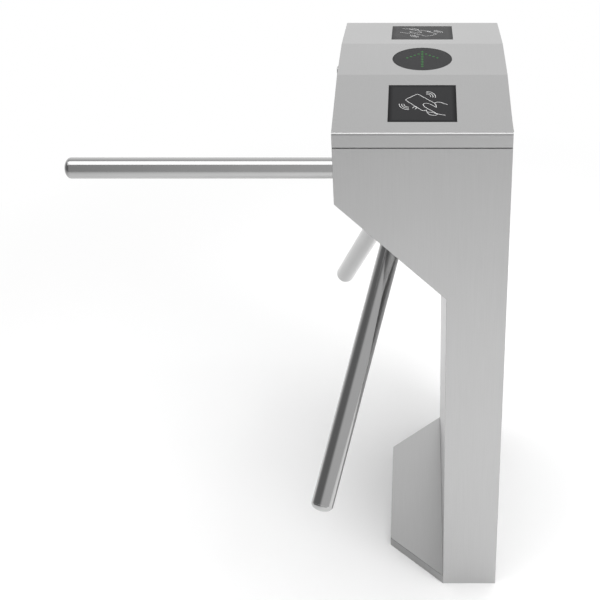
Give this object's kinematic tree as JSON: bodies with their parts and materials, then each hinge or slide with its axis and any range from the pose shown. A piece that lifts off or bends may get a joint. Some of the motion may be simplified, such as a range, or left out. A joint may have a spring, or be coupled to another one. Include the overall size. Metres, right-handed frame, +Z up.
{
  "type": "tripod turnstile",
  "caption": "Waist-high tripod turnstile: slim steel cabinet on a foot plate, hinged lid with reader windows and indicator, and a tilted hub with tubular arms that turns on a pawl-locked shaft.",
  "frame": {"origin": "on the floor under the passage face of the column, at mid-length of the cabinet", "axes": "+Z up, +Y along the passage in the direction of the indicator's arrow, -X towards the arms and the passage"},
  "size_m": [0.7791, 0.7724, 0.98],
  "materials": {
    "brushed_stainless": "linished sheet",
    "cast_hub": "satin cast and machined",
    "polished_tube": "polished",
    "steel_plate": "dark zinc primer",
    "zinc_steel": "zinc plated",
    "ground_steel": "ground",
    "hardened_wheel": "hardened, dark",
    "cast_housing": "machined casting",
    "gear_nylon": "cast nylon",
    "damper_body": "black anodised",
    "black_plastic": "moulded",
    "seal_rubber": "moulded",
    "smoked_window": "smooth, smoked",
    "lock_metal": "plated",
    "coil_frame": "dark green tape over a zinc frame",
    "supply_case": "folded sheet",
    "terminal_beige": "moulded, on a zinc rail",
    "board_green": "solder mask",
    "brass_spacer": "turned"
  },
  "bodies": {
    "cabinet": {"housing": "brushed_stainless", "floor_plate": "steel_plate", "foot_cover": "brushed_stainless", "conduit_grommet": "seal_rubber", "panel_frame": "zinc_steel", "access_panel": "brushed_stainless", "panel_screws": "zinc_steel", "lid_seal": "seal_rubber", "lock_keeper": "zinc_steel", "body_hinge_leaves": "zinc_steel", "hinge_pins": "zinc_steel", "chassis_plate": "steel_plate", "chassis_posts": "zinc_steel", "chassis_fasteners": "zinc_steel", "bearing_housing": "cast_housing", "shaft_bearings": "ground_steel", "pivot_posts": "zinc_steel", "solenoids": "coil_frame", "solenoid_brackets": "steel_plate", "rotary_damper": "damper_body", "index_spring": "ground_steel", "sensor_bracket": "steel_plate", "optical_sensor": "black_plastic", "equipment_plate": "steel_plate", "power_supply": "supply_case", "terminal_rail": "terminal_beige", "board_spacers": "brass_spacer", "control_board": "board_green"},
    "rotor": {"arm_hub": "cast_hub", "hub_cap": "cast_hub", "hub_bolts": "zinc_steel", "arm_tube_top": "polished_tube", "arm_tube_near": "polished_tube", "arm_tube_far": "polished_tube", "arm_end_caps": "polished_tube", "arm_root_plugs": "zinc_steel", "main_shaft": "ground_steel", "shaft_spacers": "zinc_steel", "lock_wheel": "hardened_wheel", "main_gear": "gear_nylon", "encoder_disc": "black_plastic", "shaft_nut": "zinc_steel"},
    "index_crank": {"crank_shaft": "ground_steel", "index_pinion": "ground_steel", "crank_disc": "ground_steel"},
    "pawl_a": {"pawl_a": "hardened_wheel"},
    "plunger_a": {"plunger_a": "ground_steel"},
    "pawl_b": {"pawl_b": "hardened_wheel"},
    "plunger_b": {"plunger_b": "ground_steel"},
    "lid": {"lid_shell": "brushed_stainless", "lid_hinge_leaves": "zinc_steel", "front_window": "smoked_window", "rear_window": "smoked_window", "reader_modules": "black_plastic", "indicator_lens": "smoked_window", "indicator_housing": "black_plastic", "indicator_leds": "board_green", "lock_barrel": "lock_metal"},
    "lock": {"lock_cam": "lock_metal"}
  },
  "joints": [
    {"name": "rotor_spin", "type": "hinge", "parent": "cabinet", "child": "rotor", "pos_m": [-0.05913, 0, 0.77278], "axis": [-0.7071, 0, -0.7071], "continuous": true},
    {"name": "crank_spin", "type": "hinge", "parent": "cabinet", "child": "index_crank", "pos_m": [-0.05913, 0.08025, 0.77278], "axis": [-0.7071, 0, -0.7071], "continuous": true, "deforming": ["index_spring"]},
    {"name": "pawl_a_swing", "type": "hinge", "parent": "cabinet", "child": "pawl_a", "pos_m": [-0.05204, -0.02253, 0.87175], "axis": [0.7071, 0, 0.7071], "range_deg": [0, 11.5], "stiffness_Nm_per_rad": 0.5, "springref_deg": -17.19},
    {"name": "plunger_a_slide", "type": "slide", "parent": "cabinet", "child": "plunger_a", "axis": [0, -1, 0], "range_m": [0, 0.0065]},
    {"name": "pawl_b_swing", "type": "hinge", "parent": "cabinet", "child": "pawl_b", "pos_m": [0.03984, -0.02253, 0.77987], "axis": [-0.7071, 0, -0.7071], "range_deg": [0, 11.5], "stiffness_Nm_per_rad": 0.5, "springref_deg": -17.19},
    {"name": "plunger_b_slide", "type": "slide", "parent": "cabinet", "child": "plunger_b", "axis": [0, -1, 0], "range_m": [0, 0.0065]},
    {"name": "lid_swing", "type": "hinge", "parent": "cabinet", "child": "lid", "pos_m": [0.1026, 0, 0.9301], "axis": [0, 1, 0], "range_deg": [0, 100]},
    {"name": "lock_turn", "type": "hinge", "parent": "lid", "child": "lock", "pos_m": [-0.18, 0, 0.958], "axis": [1, 0, 0], "range_deg": [0, 90]}
  ],
  "couplings": [
    {"joint": "crank_spin", "follows": "rotor_spin", "ratio": -3},
    {"joint": "plunger_a_slide", "follows": "pawl_a_swing", "m_per_rad": 0.032},
    {"joint": "plunger_b_slide", "follows": "pawl_b_swing", "m_per_rad": 0.032}
  ]
}
